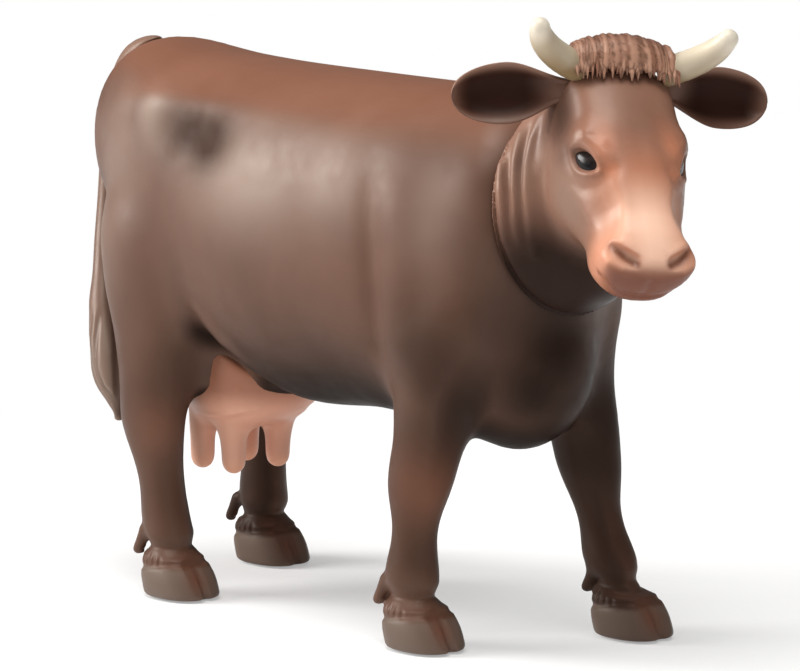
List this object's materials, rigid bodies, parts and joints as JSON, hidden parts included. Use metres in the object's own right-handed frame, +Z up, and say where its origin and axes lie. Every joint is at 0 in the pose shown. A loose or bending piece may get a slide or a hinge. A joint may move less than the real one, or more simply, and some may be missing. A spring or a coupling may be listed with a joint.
{
  "type": "toy cow figurine",
  "caption": "Free-standing toy cow in satin plastic with horns, ears, udder and tail fitted to a two-shell body, and a head that turns on a swivel at the neck.",
  "frame": {"origin": "on the ground, under the centre of the bounding box", "axes": "+X the way the body faces, +Y the animal's left side, +Z up"},
  "size_m": [0.1478, 0.048, 0.1059],
  "materials": {
    "body_plastic": "satin chocolate brown, airbrushed darker below and redder along the back",
    "udder_plastic": "satin flesh pink, browner where it meets the belly",
    "tail_plastic": "satin dark brown",
    "head_plastic": "satin brown fading to a pale pink muzzle",
    "tuft_plastic": "satin brown, streaked along the strands",
    "horn_plastic": "satin ivory",
    "ear_plastic": "satin dark brown, darker in the hollow",
    "eye_plastic": "gloss black"
  },
  "bodies": {
    "body": {"body_right_shell": "body_plastic", "body_left_shell": "body_plastic", "udder": "udder_plastic", "tail": "tail_plastic"},
    "head": {"head": "head_plastic", "poll_tuft": "tuft_plastic", "horn_right": "horn_plastic", "horn_left": "horn_plastic", "ear_right": "ear_plastic", "ear_left": "ear_plastic", "eye_right": "eye_plastic", "eye_left": "eye_plastic"}
  },
  "joints": [
    {"name": "head_turn", "type": "hinge", "parent": "body", "child": "head", "pos_m": [0.0361, 0, 0.071], "axis": [0.9816, 0, 0.1908], "range_deg": [-25, 25]}
  ]
}
